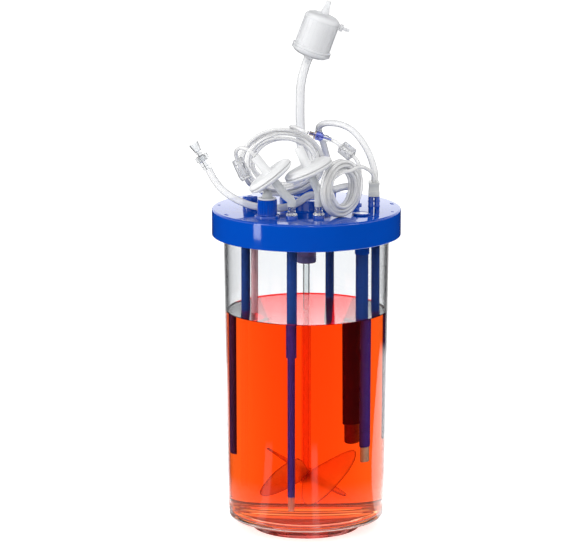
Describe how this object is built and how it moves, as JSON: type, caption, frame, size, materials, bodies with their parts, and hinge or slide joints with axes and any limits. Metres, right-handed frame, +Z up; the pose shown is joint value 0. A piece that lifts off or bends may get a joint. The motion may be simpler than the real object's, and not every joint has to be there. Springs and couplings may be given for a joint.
{
  "type": "bench bioreactor",
  "caption": "Stirred single-use bench bioreactor: clear vessel with red medium, blue head plate, dip tubes, vent filters, tubing and an exhaust capsule filter.",
  "frame": {"origin": "on the vessel's axis, at the surface that its foot ring stands on", "axes": "+Z up along the vessel's axis; +X to the right and -Y towards the front, where the fluted sensor port is at the left"},
  "size_m": [0.2109, 0.189, 0.5276],
  "materials": {
    "vessel_clear": "clear moulded, glossy",
    "medium": "clear red-orange liquid",
    "lid_blue": "royal blue, glossy moulded",
    "tube_blue": "dark blue, smooth",
    "clear_plastic": "clear moulded",
    "frosted_plastic": "frosted, translucent",
    "filter_white": "white, satin",
    "grey_plastic": "grey, satin",
    "silicone": "translucent silicone",
    "steel": "satin steel"
  },
  "bodies": {
    "vessel_assembly": {"vessel": "vessel_clear", "head_plate": "lid_blue", "level_tube": "tube_blue", "sample_tube": "clear_plastic", "harvest_sleeve": "tube_blue", "thermowell": "tube_blue", "sparge_tube": "tube_blue", "addition_tube": "tube_blue", "harvest_tube": "tube_blue", "harvest_tip": "grey_plastic", "thermowell_tip": "steel", "sparge_holder": "tube_blue", "sparge_tip": "steel", "bearing_housing": "tube_blue", "lower_bush": "filter_white", "upper_bush": "filter_white", "culture_medium": "medium", "sensor_washer": "filter_white", "sensor_plug": "grey_plastic", "exhaust_adapter": "lid_blue", "exhaust_hose": "silicone", "capsule_base": "frosted_plastic", "capsule_housing": "frosted_plastic", "filter_cartridge": "filter_white", "left_filter_outlet": "filter_white", "left_filter_inlet": "filter_white", "left_filter_membrane": "filter_white", "left_filter_connector": "clear_plastic", "left_filter_leg": "silicone", "right_filter_outlet": "filter_white", "right_filter_inlet": "filter_white", "right_filter_membrane": "filter_white", "right_filter_connector": "clear_plastic", "right_filter_leg": "silicone", "left_coil": "silicone", "right_coil": "silicone", "left_coil_lead": "silicone", "left_coil_tail": "silicone", "right_coil_lead": "silicone", "right_coil_tail": "silicone", "arc_hose": "silicone", "feed_hose": "silicone", "check_valve": "clear_plastic", "left_pinch_clamp": "frosted_plastic", "right_pinch_clamp": "frosted_plastic", "feed_luer_body": "clear_plastic", "feed_luer_cone": "clear_plastic", "gas_connector": "grey_plastic"},
    "stirrer": {"stirrer_shaft": "clear_plastic", "impeller": "clear_plastic", "drive_rotor": "grey_plastic"},
    "sensor_collar": {"sensor_collar": "lid_blue"},
    "left_port_stopper": {"left_port_stopper": "lid_blue"},
    "sparge_port_cap": {"sparge_port_cap": "lid_blue"},
    "vent_valve": {"vent_valve": "frosted_plastic"},
    "feed_luer_collar": {"feed_luer_collar": "clear_plastic"}
  },
  "joints": [
    {"name": "stirrer_spin", "type": "hinge", "parent": "vessel_assembly", "child": "stirrer", "pos_m": [0, 0, 0.055], "axis": [0, 0, 1], "continuous": true},
    {"name": "sensor_collar_turn", "type": "hinge", "parent": "vessel_assembly", "child": "sensor_collar", "pos_m": [-0.0385, -0.052, 0.334], "axis": [0, 0, 1], "range_deg": [0, 180]},
    {"name": "left_port_stopper_pull", "type": "slide", "parent": "vessel_assembly", "child": "left_port_stopper", "axis": [0, 0, 1], "range_m": [0, 0.007]},
    {"name": "sparge_port_cap_turn", "type": "hinge", "parent": "vessel_assembly", "child": "sparge_port_cap", "pos_m": [0.05463, -0.03998, 0.329], "axis": [0, 0, 1], "range_deg": [0, 90]},
    {"name": "vent_valve_turn", "type": "hinge", "parent": "vessel_assembly", "child": "vent_valve", "pos_m": [0.0352, 0.068, 0.4994], "axis": [0.9397, 0, -0.342], "range_deg": [0, 180]},
    {"name": "feed_luer_collar_spin", "type": "hinge", "parent": "vessel_assembly", "child": "feed_luer_collar", "pos_m": [-0.1036, -0.015, 0.3805], "axis": [-0.5, 0, 0.866], "continuous": true}
  ]
}
